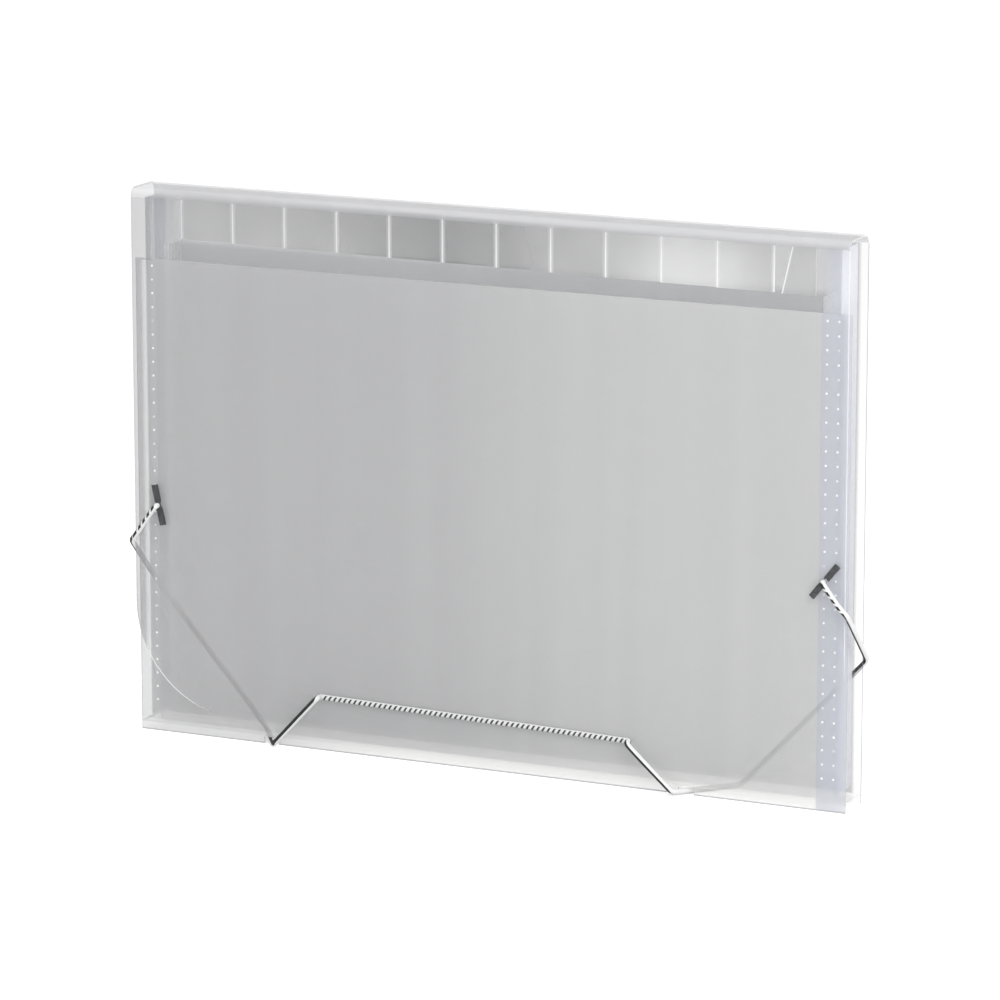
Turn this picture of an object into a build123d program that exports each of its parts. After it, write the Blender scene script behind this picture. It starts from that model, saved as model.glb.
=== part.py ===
from build123d import *
import math
import os

# An expanding file of clear plastic sheet, shut by an elastic cord.
# X runs along the width, the front faces -Y, Z is up, and the file stands on its lower edges at Z = 0.
# All sizes are in millimetres.

# Case
WIDTH = 330.0
DEPTH = 22.0
HEIGHT = 240.0
SHEET = 0.8
FOLD_R = 4.0
CREASE_GAP = 0.2
FRONT_TOP_DROP = 31.0
FLAP_SPACE = 2.7
BOTTOM_LIFT = 3.2

# Cover flap
FLAP_BOTTOM_Z = 10.5
FLAP_CORNER_R = 48.0
HOLE_R = 1.6

# Dividers and the concertina sides that hold them
DIVIDERS = 12
DIVIDER_SHEET = 0.4
DIVIDER_BOTTOM_Z = 7.0
DIVIDER_TOP_DROP = 24.5
TAB_HEIGHT = 20.0
TAB_MARGIN = 0.5
LAST_TAB_WIDTH = 15.0
LAST_TAB_GAP = 3.6
LAST_TAB_IN = 3.5
LAST_TAB_SLANT = 4.6
CORNER_R = 1.0
FILM = 0.3
EDGE_GAP = 0.2
CONCERTINA_DEPTH = 9.0
CONCERTINA_EDGE = 4.0
CONCERTINA_TOP_DROP = 4.5

# Spot welds along the side edges of the front and back panels
WELD_DIAMETER = 1.0
WELD_PROUD = 0.12
WELD_PITCH = 6.0
WELD_INSET = 8.0
RIGHT_WELD_INSETS = (10.5, 5.4)

# Elastic cord and its two end bars
CORD_DIAMETER = 2.3
CORD_BEND_R = 1.3
CORD_CLEARANCE = 0.25
NOTCH_WIDTH = 7.0
NOTCH_HEIGHT = 2.9
BAR_LENGTH = 18.0
BAR_WIDTH = 2.7
BAR_THICKNESS = 1.3
BAR_EDGE_R = 0.4
BAR_PLAY = 0.1
BAR_LEAN_LEFT = 12.6
BAR_LEAN_RIGHT = -39.0

# The cord's places: distances in from the left or right side edge, and heights
BAR_HOLE_IN_LEFT = 10.8
BAR_HOLE_IN_RIGHT = 9.6
BAR_HOLE_Z_LEFT = 101.5
BAR_HOLE_Z_RIGHT = 98.0
LOW_HOLE_IN_LEFT = 88.2
LOW_HOLE_IN_RIGHT = 96.8
LOW_HOLE_Z_LEFT = 24.0
LOW_HOLE_Z_RIGHT = 20.7
BACK_CROSSING_IN_LEFT = 52.0
BACK_CROSSING_IN_RIGHT = 55.4
FRONT_CROSSING_IN_LEFT = 67.0
FRONT_CROSSING_IN_RIGHT = 75.6
SIDE_FRONT_Z = 85.5
SIDE_BACK_Z = 61.0

# Places worked out from the sizes above
BACK_OUT = DEPTH / 2
BACK_IN = BACK_OUT - SHEET
FLAP_OUT = -DEPTH / 2
FLAP_IN = FLAP_OUT + SHEET
FRONT_OUT = FLAP_IN + FLAP_SPACE
FRONT_IN = FRONT_OUT + SHEET
FRONT_TOP = HEIGHT - FRONT_TOP_DROP
CREASE_Z = HEIGHT - FOLD_R
DIVIDER_TOP = HEIGHT - DIVIDER_TOP_DROP
DIVIDER_WIDTH = WIDTH - 2 * (CONCERTINA_DEPTH + CONCERTINA_EDGE)
CONCERTINA_TOP = HEIGHT - CONCERTINA_TOP_DROP
PLEATS = 2 * (DIVIDERS + 1)
PLEAT = (BACK_IN - FRONT_IN - FILM) / (PLEATS - 1)
PLEAT_Y = BACK_IN - FILM / 2
TABS_FROM = TAB_MARGIN - DIVIDER_WIDTH / 2
LAST_TAB_TO = DIVIDER_WIDTH / 2 - LAST_TAB_IN
LAST_TAB_FROM = LAST_TAB_TO - LAST_TAB_WIDTH
TAB_WIDTH = (LAST_TAB_FROM - LAST_TAB_GAP - TABS_FROM) / (DIVIDERS - 1)
CORD_R = CORD_DIAMETER / 2
CORD_OFF = CORD_R + CORD_CLEARANCE
CORD_BACK_Y = BACK_OUT + CORD_OFF
CORD_FRONT_Y = FLAP_OUT - CORD_OFF
IN_HOLE_Y = (FLAP_IN + FLAP_OUT) / 2
LEFT = -WIDTH / 2
RIGHT = WIDTH / 2
BAR_HOLE_LEFT = (LEFT + BAR_HOLE_IN_LEFT, BAR_HOLE_Z_LEFT)
BAR_HOLE_RIGHT = (RIGHT - BAR_HOLE_IN_RIGHT, BAR_HOLE_Z_RIGHT)
LOW_HOLE_LEFT = (LEFT + LOW_HOLE_IN_LEFT, LOW_HOLE_Z_LEFT)
LOW_HOLE_RIGHT = (RIGHT - LOW_HOLE_IN_RIGHT, LOW_HOLE_Z_RIGHT)
CROSSINGS_LEFT = (LEFT + BACK_CROSSING_IN_LEFT, LEFT + FRONT_CROSSING_IN_LEFT)
CROSSINGS_RIGHT = (RIGHT - BACK_CROSSING_IN_RIGHT, RIGHT - FRONT_CROSSING_IN_RIGHT)
BEHIND_FLAP = FLAP_IN + BAR_PLAY + CORD_R


def box(x_span, y_span, z_span):
    """A box from its low and high X, Y and Z."""
    size = [span[1] - span[0] for span in (x_span, y_span, z_span)]
    return Pos(x_span[0], y_span[0], z_span[0]) * Box(*size, align=(Align.MIN, Align.MIN, Align.MIN))


def upright(face, y_low, thickness):
    """A flat outline drawn in X and Z, as a sheet standing from y_low towards +Y."""
    return Pos(0, y_low + thickness, 0) * extrude(Plane.XZ * face, thickness)


def hole(place, y_low, y_high, radius):
    """A cutter along Y at an X and Z place."""
    middle = (y_low + y_high) / 2
    return Pos(place[0], middle, place[1]) * Rot(90, 0, 0) * Cylinder(radius, y_high - y_low + 2)


def under_x(y, back_x, front_x):
    """Where a cord that runs under the file from back_x to front_x is at a given Y."""
    return back_x + (front_x - back_x) * (CORD_BACK_Y - y) / (CORD_BACK_Y - CORD_FRONT_Y)


def notched_panel(y_low, z_high):
    """A full-width panel that stands on Z = 0, with a notch over each place where the cord runs under it."""
    panel = box((LEFT, RIGHT), (y_low, y_low + SHEET), (0, z_high))
    for back_x, front_x in (CROSSINGS_LEFT, CROSSINGS_RIGHT):
        x = under_x(y_low + SHEET / 2, back_x, front_x)
        panel -= box((x - NOTCH_WIDTH / 2, x + NOTCH_WIDTH / 2), (y_low - 1, y_low + SHEET + 1), (-1, NOTCH_HEIGHT))
    return panel


def arch(y_reach, z_top, radius):
    """A full-width block whose two upper long edges are rounded."""
    block = box((LEFT, RIGHT), (-y_reach, y_reach), (CREASE_Z - FOLD_R, z_top))
    return fillet(block.edges().filter_by(Axis.X).group_by(Axis.Z)[-1], radius)


def top_gusset():
    """The top strip, with a rounded fold down to the back panel and one down to the flap."""
    strip = arch(DEPTH / 2, HEIGHT, FOLD_R) - arch(DEPTH / 2 - SHEET, HEIGHT - SHEET, FOLD_R - SHEET)
    return strip - box((-WIDTH, WIDTH), (-DEPTH, DEPTH), (0, CREASE_Z + CREASE_GAP / 2))


def cover_flap():
    """The front flap, with round lower corners and four holes for the cord."""
    top = CREASE_Z - CREASE_GAP / 2
    outline = Pos(0, (top + FLAP_BOTTOM_Z) / 2) * Rectangle(WIDTH, top - FLAP_BOTTOM_Z)
    outline = fillet(outline.vertices().group_by(Axis.Y)[0], FLAP_CORNER_R)
    flap = upright(outline, FLAP_OUT, SHEET)
    for place in (BAR_HOLE_LEFT, BAR_HOLE_RIGHT, LOW_HOLE_LEFT, LOW_HOLE_RIGHT):
        flap -= hole(place, FLAP_OUT, FLAP_IN, HOLE_R)
    return flap


def divider_y(number):
    """The middle of a divider, counted from 1 at the back: it stands on an inner fold of the concertina."""
    return PLEAT_Y - PLEAT * (2 * number - 0.5)


def divider(number):
    """One divider sheet with its index tab. The tabs step from left at the back to right at the front."""
    low = -DIVIDER_WIDTH / 2
    high = DIVIDER_WIDTH / 2
    last = number == DIVIDERS
    left = LAST_TAB_FROM if last else TABS_FROM + TAB_WIDTH * (number - 1)
    right = LAST_TAB_TO if last else left + TAB_WIDTH
    slant = LAST_TAB_SLANT if last else 0.0
    tab_top = DIVIDER_TOP + TAB_HEIGHT
    points = [(low, DIVIDER_BOTTOM_Z), (high, DIVIDER_BOTTOM_Z), (high, DIVIDER_TOP), (right, DIVIDER_TOP)]
    points += [(right, tab_top), (left + slant, tab_top), (left, DIVIDER_TOP), (low, DIVIDER_TOP)]
    outline = make_face(Polyline(*points, close=True))
    tips = [v for v in outline.vertices() if v.Y > tab_top - CORNER_R]
    outline = fillet(tips, CORNER_R)
    return upright(outline, divider_y(number) - DIVIDER_SHEET / 2, DIVIDER_SHEET)


def concertina():
    """The right-hand side film: pleats that go out and back, one inner fold for each divider."""
    bend = PLEAT / 2
    inner_x = DIVIDER_WIDTH / 2 + EDGE_GAP + bend + FILM / 2
    outer_x = WIDTH / 2 - CONCERTINA_EDGE - bend - FILM / 2
    edges = []
    for side in (1, -1):
        x_from = inner_x
        for number in range(PLEATS):
            outward = 1 if number % 2 == 0 else -1
            y = PLEAT_Y - PLEAT * number
            shift = side * outward * FILM / 2
            x_to = outer_x if outward == 1 else inner_x
            edges.append(Line((x_from, y + shift), (x_to, y + shift)))
            if number < PLEATS - 1:
                tip = x_to + outward * (bend + shift)
                edges.append(ThreePointArc((x_to, y + shift), (tip, y - bend), (x_to, y - PLEAT - shift)))
            x_from = x_to
    first = PLEAT_Y
    last = PLEAT_Y - PLEAT * (PLEATS - 1)
    edges.append(Line((inner_x, first - FILM / 2), (inner_x, first + FILM / 2)))
    edges.append(Line((inner_x, last - FILM / 2), (inner_x, last + FILM / 2)))
    outline = make_face(Wire.combine([e for line in edges for e in line.edges()])[0])
    return Pos(0, 0, DIVIDER_BOTTOM_Z) * extrude(outline, CONCERTINA_TOP - DIVIDER_BOTTOM_Z, dir=(0, 0, 1))


def welds(y_low, z_high, columns):
    """Columns of round spot welds, standing just proud of a panel."""
    dots = []
    count = int((z_high - 2 * DIVIDER_BOTTOM_Z) // WELD_PITCH) + 1
    for x in columns:
        for step in range(count):
            z = 2 * DIVIDER_BOTTOM_Z + step * WELD_PITCH
            dot = Rot(90, 0, 0) * Cylinder(WELD_DIAMETER / 2, WELD_PROUD)
            dots.append(Pos(x, y_low + WELD_PROUD / 2, z) * dot)
    return Compound(children=dots)


def tube(points, bend_radius, radius):
    """A round cord along straight runs joined by tangent arcs."""
    path = FilletPolyline(*points, radius=bend_radius)
    start = Plane(origin=path @ 0, z_dir=path % 0)
    return sweep(start * Circle(radius), path=path)


def side_loop(bar_hole, low_hole, crossings):
    """The elastic from an end bar, round the side and the back, under the file and up to a low hole."""
    side_x = math.copysign(WIDTH / 2 + CORD_OFF, bar_hole[0])
    back_x, front_x = crossings
    route = [
        (bar_hole[0], IN_HOLE_Y, bar_hole[1]),
        (bar_hole[0], CORD_FRONT_Y, bar_hole[1]),
        (side_x, CORD_FRONT_Y, SIDE_FRONT_Z),
        (side_x, CORD_BACK_Y, SIDE_BACK_Z),
        (back_x, CORD_BACK_Y, CORD_OFF),
        (front_x, CORD_FRONT_Y, CORD_OFF),
        (low_hole[0], CORD_FRONT_Y, low_hole[1]),
        (low_hole[0], IN_HOLE_Y, low_hole[1]),
    ]
    return tube(route, CORD_BEND_R, CORD_R)


def centre_run():
    """The elastic between the two low holes, behind the flap."""
    route = [
        (LOW_HOLE_LEFT[0], IN_HOLE_Y, LOW_HOLE_LEFT[1]),
        (LOW_HOLE_LEFT[0], BEHIND_FLAP, LOW_HOLE_LEFT[1]),
        (LOW_HOLE_RIGHT[0], BEHIND_FLAP, LOW_HOLE_RIGHT[1]),
        (LOW_HOLE_RIGHT[0], IN_HOLE_Y, LOW_HOLE_RIGHT[1]),
    ]
    return tube(route, CORD_BEND_R, CORD_R)


def end_bar(place, lean):
    """A flat metal strip, crimped on the cord's end, that stops it behind its hole."""
    strip = Box(BAR_WIDTH, BAR_THICKNESS, BAR_LENGTH)
    strip = fillet(strip.edges().filter_by(Axis.Z), BAR_EDGE_R)
    return Pos(place[0], FLAP_IN + BAR_PLAY + BAR_THICKNESS / 2, place[1]) * Rot(0, -lean, 0) * strip


parts = {
    "back_panel": notched_panel(BACK_IN, CREASE_Z - CREASE_GAP / 2),
    "bottom_gusset": box(
        (LEFT, RIGHT), (FRONT_IN + CREASE_GAP, BACK_IN), (BOTTOM_LIFT, BOTTOM_LIFT + SHEET)
    ),
    "front_panel": notched_panel(FRONT_OUT, FRONT_TOP),
    "top_gusset": top_gusset(),
    "cover_flap": cover_flap(),
    "right_concertina": concertina(),
    "left_concertina": mirror(concertina(), about=Plane.YZ),
    "front_spot_welds": welds(
        FRONT_OUT - WELD_PROUD, FRONT_TOP, [LEFT + WELD_INSET] + [RIGHT - inset for inset in RIGHT_WELD_INSETS]
    ),
    "back_spot_welds": welds(BACK_OUT, CONCERTINA_TOP, [LEFT + WELD_INSET, RIGHT - WELD_INSET]),
    "elastic_left_loop": side_loop(BAR_HOLE_LEFT, LOW_HOLE_LEFT, CROSSINGS_LEFT),
    "elastic_right_loop": side_loop(BAR_HOLE_RIGHT, LOW_HOLE_RIGHT, CROSSINGS_RIGHT),
    "elastic_centre_run": centre_run(),
    "t_bar_left": end_bar(BAR_HOLE_LEFT, BAR_LEAN_LEFT),
    "t_bar_right": end_bar(BAR_HOLE_RIGHT, BAR_LEAN_RIGHT),
}
for number in range(1, DIVIDERS + 1):
    parts[f"divider_{number:02d}"] = divider(number)

os.makedirs("parts", exist_ok=True)
for name, part in parts.items():
    part.label = name
    export_step(part, f"parts/{name}.step")
    print(name, round(part.volume, 2))
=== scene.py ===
import bpy
import math
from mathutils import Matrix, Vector


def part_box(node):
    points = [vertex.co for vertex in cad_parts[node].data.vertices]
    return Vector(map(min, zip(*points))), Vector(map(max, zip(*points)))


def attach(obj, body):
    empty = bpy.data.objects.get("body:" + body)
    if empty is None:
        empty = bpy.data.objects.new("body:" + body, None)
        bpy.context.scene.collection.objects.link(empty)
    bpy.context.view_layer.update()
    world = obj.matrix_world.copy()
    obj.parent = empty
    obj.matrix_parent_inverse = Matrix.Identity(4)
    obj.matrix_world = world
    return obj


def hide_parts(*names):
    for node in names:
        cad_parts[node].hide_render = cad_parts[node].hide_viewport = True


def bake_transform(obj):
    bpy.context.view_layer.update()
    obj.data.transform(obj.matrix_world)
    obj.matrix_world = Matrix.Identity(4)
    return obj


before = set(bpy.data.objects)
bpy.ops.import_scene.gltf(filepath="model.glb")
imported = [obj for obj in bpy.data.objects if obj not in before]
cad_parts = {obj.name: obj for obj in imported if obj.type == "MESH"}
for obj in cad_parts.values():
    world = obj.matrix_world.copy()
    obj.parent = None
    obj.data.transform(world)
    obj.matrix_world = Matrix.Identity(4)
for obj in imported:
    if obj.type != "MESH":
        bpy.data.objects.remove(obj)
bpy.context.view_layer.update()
mm = 0.001


def hexLinear(text):
    channels = [int(text[i:i + 2], 16) / 255 for i in (1, 3, 5)]
    return [c / 12.92 if c <= 0.04045 else ((c + 0.055) / 1.055) ** 2.4 for c in channels] + [1.0]


def addNode(tree, kind, settings=None, inputs=None):
    # inputs are values or other nodes' sockets, by the name or the number of the input
    new = tree.nodes.new(kind)
    for name, value in (settings or {}).items():
        setattr(new, name, value)
    for key, value in (inputs or {}).items():
        if isinstance(value, bpy.types.NodeSocket):
            tree.links.new(value, new.inputs[key])
        else:
            new.inputs[key].default_value = value
    return new


def newMaterial(name):
    material = bpy.data.materials.new(name)
    material.use_nodes = True
    tree = material.node_tree
    tree.nodes.clear()
    return material, tree


def finishMaterial(tree, inputs):
    surface = addNode(tree, "ShaderNodeBsdfPrincipled", {}, inputs)
    addNode(tree, "ShaderNodeOutputMaterial", {}, {"Surface": surface.outputs[0]})


def dress(nodeNames, material, thin=False):
    for nodeName in nodeNames:
        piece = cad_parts[nodeName]
        piece.data.materials.clear()
        piece.data.materials.append(material)
        letLightPass(piece, thin)


def letLightPass(piece, thin):
    # thin layers lie many deep: only the eye meets them, which also keeps the render quick
    piece.visible_shadow = not thin
    piece.visible_diffuse = not thin
    piece.visible_glossy = not thin


def deselectAll():
    for item in bpy.context.selected_objects:
        item.select_set(False)


def selectPlaces(piece, keep):
    # in edit mode: selects the vertices whose place passes the test, and nothing else
    bpy.ops.mesh.select_all(action="DESELECT")
    bpy.ops.mesh.select_mode(type="VERT")
    bpy.ops.object.mode_set(mode="OBJECT")
    for vertex in piece.data.vertices:
        vertex.select = keep(vertex.co)
    bpy.ops.object.mode_set(mode="EDIT")


# Camera: no shift, at the photograph's angle

view = {
    "azimuth": 25.0,
    "elevation": 12.3,
    "distanceM": 2.27,
    "focalPx": 5382.0,
    "picturePx": 1000,
    "target": (0.0044, 0.0, 0.1164),
}


def setCamera():
    lens = bpy.data.cameras.new("camera")
    lens.sensor_width = 36.0
    lens.lens = view["focalPx"] / view["picturePx"] * lens.sensor_width
    lens.clip_end = 60
    azimuth = math.radians(view["azimuth"])
    elevation = math.radians(view["elevation"])
    back = Vector((math.sin(azimuth) * math.cos(elevation), -math.cos(azimuth) * math.cos(elevation),
                   math.sin(elevation)))
    holder = bpy.data.objects.new("camera", lens)
    holder.location = Vector(view["target"]) + back * view["distanceM"]
    holder.rotation_euler = (-back).to_track_quat("-Z", "Y").to_euler()
    bpy.context.scene.collection.objects.link(holder)
    bpy.context.scene.camera = holder


setCamera()
print("camera set")

# places read off the frame, in metres
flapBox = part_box("cover_flap")
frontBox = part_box("front_panel")
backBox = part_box("back_panel")
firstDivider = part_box("divider_01")
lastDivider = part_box("divider_12")
cutBelow = 0.5     # a face that looks forwards or backwards by less than this is a cut edge


# Case sheets: extruded polypropylene, clear by itself and milky where light enters at a slant

sheets = {
    "roughness": 0.3,
    "ior": 1.49,
    "flowMm": 14.0,            # width of the soft flow marks that run down an extruded sheet
    "flow": 0.08,              # how strongly they show
    "flap": {
        "colour": "#c8cacd",
        "haze": 0.06,
        "paintedReflection": "#9d9da0",      # painted reflection: a darker strip along the left side, where the flap bends the dark end of the room into view
        "reflectionHaze": 0.58,
        "reflectionMm": (-161.2, -158.6),
        "reflectionWiderMm": 4.5,     # above the front panel
        "edge": "#ffffff",
        "edgeHaze": 0.85,
        "cornerMm": (45.0, 75.0),   # height where the round corners end
        "leftSide": 0.2,       # how much of the edge's light shows at the straight sides
        "rightSide": 0.95,
        "turned": (0.05, 0.6),      # how far an edge has to look sideways to shine
    },
    "front": {
        "colour": "#c4c4c5",
        "windowSide": "#d7d7d7",
        "windowMm": (-60.0, 85.0),
        "overPleats": "#c7cad4",    # bluish where many layers of film lie behind it
        "haze": 0.6,
        "edge": "#b4b4b7",
        "edgeHaze": 0.6,
        "foldMm": 0.45,        # height of the grey line of the fold at the floor
        "footMm": (4.4, 5.8),  # below this nothing dark lies behind
        "footLeft": "#dcdcdd",
        "footRight": "#fffffc",
        "shineMm": (-120.0, -20.0),
        "footClearer": 0.55,
    },
    "back": {
        "colour": "#8b8b8e",
        "haze": 0.6,
        "edge": "#7c7c82",
        "edgeHaze": 0.85,
        "marginMm": (160.5, 162.5),     # right of the pleats
        "marginHaze": 0.3,
        "footMm": (3.4, 4.6),
        "footHaze": 0.4,
    },
    # the top's bend values set the painted highlight along its front fold
    "top": {"colour": "#adadb0", "haze": 0.55, "edge": "#dedee0", "edgeHaze": 0.6, "bend": 1.3, "foldHighlightHaze": 0.1},
    "bottom": {"colour": "#f4f4f2", "shaded": "#b2b2b4", "glowMm": (-105.0, -30.0), "haze": 0.4, "edgeHaze": 0.7},
}


def sheetBase(tree):
    # shared by the case sheets: place, face normal, flow marks, and how far a face looks sideways
    coords = addNode(tree, "ShaderNodeTexCoord")
    place = addNode(tree, "ShaderNodeSeparateXYZ", {}, {0: coords.outputs["Object"]})
    normal = addNode(tree, "ShaderNodeSeparateXYZ", {}, {0: coords.outputs["Normal"]})
    perMetre = 1 / (sheets["flowMm"] * mm)
    stretch = addNode(tree, "ShaderNodeMapping", {},
                      {"Vector": coords.outputs["Object"], "Scale": (perMetre, perMetre, 2.0)})
    marks = addNode(tree, "ShaderNodeTexNoise", {}, {"Vector": stretch.outputs[0], "Scale": 1.0, "Detail": 1.0})
    flow = addNode(tree, "ShaderNodeMath", {"operation": "MULTIPLY_ADD"},
                   {0: marks.outputs["Fac"], 1: 2 * sheets["flow"], 2: 1 - sheets["flow"]})
    sideways = addNode(tree, "ShaderNodeMath", {"operation": "ABSOLUTE"}, {0: normal.outputs["X"]})
    return place, normal, flow.outputs[0], sideways.outputs[0]


def oneSided(tree, haze):
    # a solid sheet has two faces: only the one turned to the eye scatters, so its haze is counted once
    geometry = addNode(tree, "ShaderNodeNewGeometry")
    near = addNode(tree, "ShaderNodeMath", {"operation": "SUBTRACT"}, {0: 1.0, 1: geometry.outputs["Backfacing"]})
    return addNode(tree, "ShaderNodeMath", {"operation": "MULTIPLY"}, {0: haze, 1: near.outputs[0]}).outputs[0]


def finishSheet(tree, look, haze, edge, tint):
    # the faces are hazy, and the cut edges are seen from either side
    edgeAlpha = addNode(tree, "ShaderNodeMath", {"operation": "MULTIPLY"}, {0: edge, 1: look["edgeHaze"]})
    alpha = addNode(tree, "ShaderNodeMath", {"operation": "MAXIMUM"},
                    {0: oneSided(tree, haze), 1: edgeAlpha.outputs[0]})
    finishMaterial(tree, {"Base Color": tint, "Roughness": sheets["roughness"], "IOR": sheets["ior"],
                          "Alpha": alpha.outputs[0]})


def flapSheet():
    look = sheets["flap"]
    material, tree = newMaterial("clear polypropylene flap")
    place, normal, flow, sideways = sheetBase(tree)
    # painted reflection: a darker, hazier strip along the left side, wider above the front panel
    above = addNode(tree, "ShaderNodeMath", {"operation": "GREATER_THAN"},
                    {0: place.outputs["Z"], 1: frontBox[1][2]})
    shifted = addNode(tree, "ShaderNodeMath", {"operation": "MULTIPLY_ADD"},
                      {0: above.outputs[0], 1: -look["reflectionWiderMm"] * mm, 2: place.outputs["X"]})
    paintedReflection = addNode(tree, "ShaderNodeMapRange", {"interpolation_type": "SMOOTHSTEP"},
                  {"Value": shifted.outputs[0], "From Min": look["reflectionMm"][0] * mm,
                   "From Max": look["reflectionMm"][1] * mm, "To Min": 1.0, "To Max": 0.0})
    haze = addNode(tree, "ShaderNodeMapRange", {},
                   {"Value": paintedReflection.outputs[0], "To Min": look["haze"], "To Max": look["reflectionHaze"]})
    haze = addNode(tree, "ShaderNodeMath", {"operation": "MULTIPLY"}, {0: flow, 1: haze.outputs[0]})
    # the cut edge pipes light out, most at the right side and along the round left corner
    across = addNode(tree, "ShaderNodeMath", {"operation": "ABSOLUTE"}, {0: normal.outputs["Y"]})
    cut = addNode(tree, "ShaderNodeMath", {"operation": "LESS_THAN"}, {0: across.outputs[0], 1: cutBelow})
    atRight = addNode(tree, "ShaderNodeMath", {"operation": "GREATER_THAN"}, {0: place.outputs["X"], 1: 0.0})
    rise = addNode(tree, "ShaderNodeMapRange", {"interpolation_type": "SMOOTHSTEP"},
                   {"Value": place.outputs["Z"], "From Min": look["cornerMm"][0] * mm,
                    "From Max": look["cornerMm"][1] * mm})
    leftShare = addNode(tree, "ShaderNodeMath", {"operation": "MULTIPLY_ADD"},
                        {0: rise.outputs[0], 1: look["leftSide"] - 1, 2: 1.0})
    rightShare = addNode(tree, "ShaderNodeMath", {"operation": "MULTIPLY"},
                         {0: rise.outputs[0], 1: look["rightSide"]})
    share = addNode(tree, "ShaderNodeMix", {},
                    {0: atRight.outputs[0], 2: leftShare.outputs[0], 3: rightShare.outputs[0]})
    turned = addNode(tree, "ShaderNodeMapRange", {"interpolation_type": "SMOOTHSTEP"},
                     {"Value": sideways, "From Min": look["turned"][0], "From Max": look["turned"][1]})
    share = addNode(tree, "ShaderNodeMath", {"operation": "MULTIPLY"},
                    {0: share.outputs[0], 1: turned.outputs[0]})
    shown = addNode(tree, "ShaderNodeMath", {"operation": "MULTIPLY"}, {0: cut.outputs[0], 1: share.outputs[0]})
    body = addNode(tree, "ShaderNodeMix", {"data_type": "RGBA"},
                   {0: paintedReflection.outputs[0], 6: hexLinear(look["colour"]), 7: hexLinear(look["paintedReflection"])})
    tint = addNode(tree, "ShaderNodeMix", {"data_type": "RGBA"},
                   {0: shown.outputs[0], 6: body.outputs[2], 7: hexLinear(look["edge"])})
    finishSheet(tree, look, haze.outputs[0], shown.outputs[0], tint.outputs[2])
    return material


def frontSheet():
    look = sheets["front"]
    material, tree = newMaterial("milky polypropylene front")
    place, _, flow, sideways = sheetBase(tree)
    inside = addNode(tree, "ShaderNodeMath", {"operation": "LESS_THAN"},
                     {0: place.outputs["X"], 1: lastDivider[1][0]})
    # the foot, below the dividers, looks clear, most at the right, where the light comes in
    foot = addNode(tree, "ShaderNodeMapRange", {"interpolation_type": "SMOOTHSTEP"},
                   {"Value": place.outputs["Z"], "From Min": look["footMm"][0] * mm,
                    "From Max": look["footMm"][1] * mm, "To Min": 1.0, "To Max": 0.0})
    foot = addNode(tree, "ShaderNodeMath", {"operation": "MULTIPLY"}, {0: foot.outputs[0], 1: inside.outputs[0]})
    shine = addNode(tree, "ShaderNodeMapRange", {"interpolation_type": "SMOOTHSTEP"},
                    {"Value": place.outputs["X"], "From Min": look["shineMm"][0] * mm,
                     "From Max": look["shineMm"][1] * mm})
    clearing = addNode(tree, "ShaderNodeMath", {"operation": "MULTIPLY"},
                       {0: foot.outputs[0], 1: shine.outputs[0]})
    clearing = addNode(tree, "ShaderNodeMath", {"operation": "MULTIPLY_ADD"},
                       {0: clearing.outputs[0], 1: -look["footClearer"], 2: 1.0})
    haze = addNode(tree, "ShaderNodeMath", {"operation": "MULTIPLY"}, {0: flow, 1: look["haze"]})
    haze = addNode(tree, "ShaderNodeMath", {"operation": "MULTIPLY"},
                   {0: haze.outputs[0], 1: clearing.outputs[0]})
    fold = addNode(tree, "ShaderNodeMath", {"operation": "LESS_THAN"},
                   {0: place.outputs["Z"], 1: look["foldMm"] * mm})
    edge = addNode(tree, "ShaderNodeMath", {"operation": "MAXIMUM"}, {0: sideways, 1: fold.outputs[0]})
    # the window side of the room whitens the sheet towards the right
    drift = addNode(tree, "ShaderNodeMapRange", {"interpolation_type": "SMOOTHSTEP"},
                    {"Value": place.outputs["X"], "From Min": look["windowMm"][0] * mm,
                     "From Max": look["windowMm"][1] * mm})
    body = addNode(tree, "ShaderNodeMix", {"data_type": "RGBA"},
                   {0: drift.outputs[0], 6: hexLinear(look["colour"]), 7: hexLinear(look["windowSide"])})
    body = addNode(tree, "ShaderNodeMix", {"data_type": "RGBA"},
                   {0: inside.outputs[0], 6: hexLinear(look["overPleats"]), 7: body.outputs[2]})
    footTint = addNode(tree, "ShaderNodeMix", {"data_type": "RGBA"},
                       {0: shine.outputs[0], 6: hexLinear(look["footLeft"]), 7: hexLinear(look["footRight"])})
    body = addNode(tree, "ShaderNodeMix", {"data_type": "RGBA"},
                   {0: foot.outputs[0], 6: body.outputs[2], 7: footTint.outputs[2]})
    tint = addNode(tree, "ShaderNodeMix", {"data_type": "RGBA"},
                   {0: edge.outputs[0], 6: body.outputs[2], 7: hexLinear(look["edge"])})
    finishSheet(tree, look, haze.outputs[0], edge.outputs[0], tint.outputs[2])
    return material


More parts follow.
